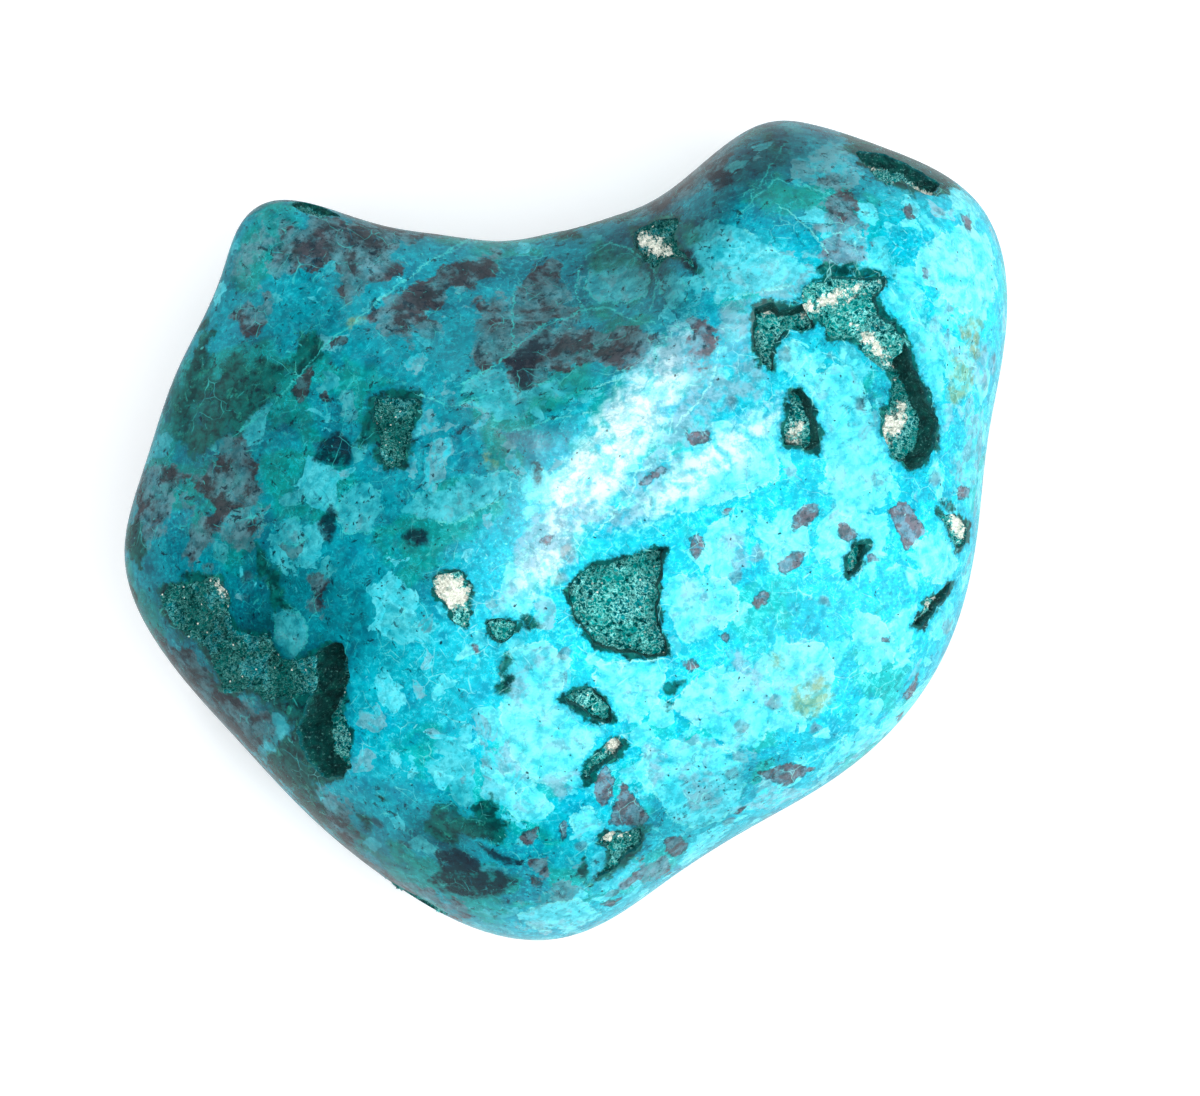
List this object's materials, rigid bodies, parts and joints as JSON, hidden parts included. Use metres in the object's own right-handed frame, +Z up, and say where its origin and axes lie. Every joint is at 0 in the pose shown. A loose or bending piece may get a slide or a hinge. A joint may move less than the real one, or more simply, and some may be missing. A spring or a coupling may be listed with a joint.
{
  "type": "turquoise stone",
  "caption": "Palm-sized polished freeform stone, turquoise and green, with crystal-lined hollows and a flat underside to rest on.",
  "frame": {"origin": "middle of the stone's footprint, on the plane of its flat underside", "axes": "+Z up from the flat underside, +X along the stone's length towards its wider lobe, +Y towards the dip in its outline"},
  "size_m": [0.0879, 0.0818, 0.0428],
  "materials": {
    "polished_stone": "polished",
    "druse": "rough crystals"
  },
  "bodies": {
    "root": {"stone": "polished_stone", "druse_centre": "druse", "druse_upper": "druse", "druse_right": "druse", "druse_cave": "druse", "druse_corner": "druse"}
  },
  "joints": []
}
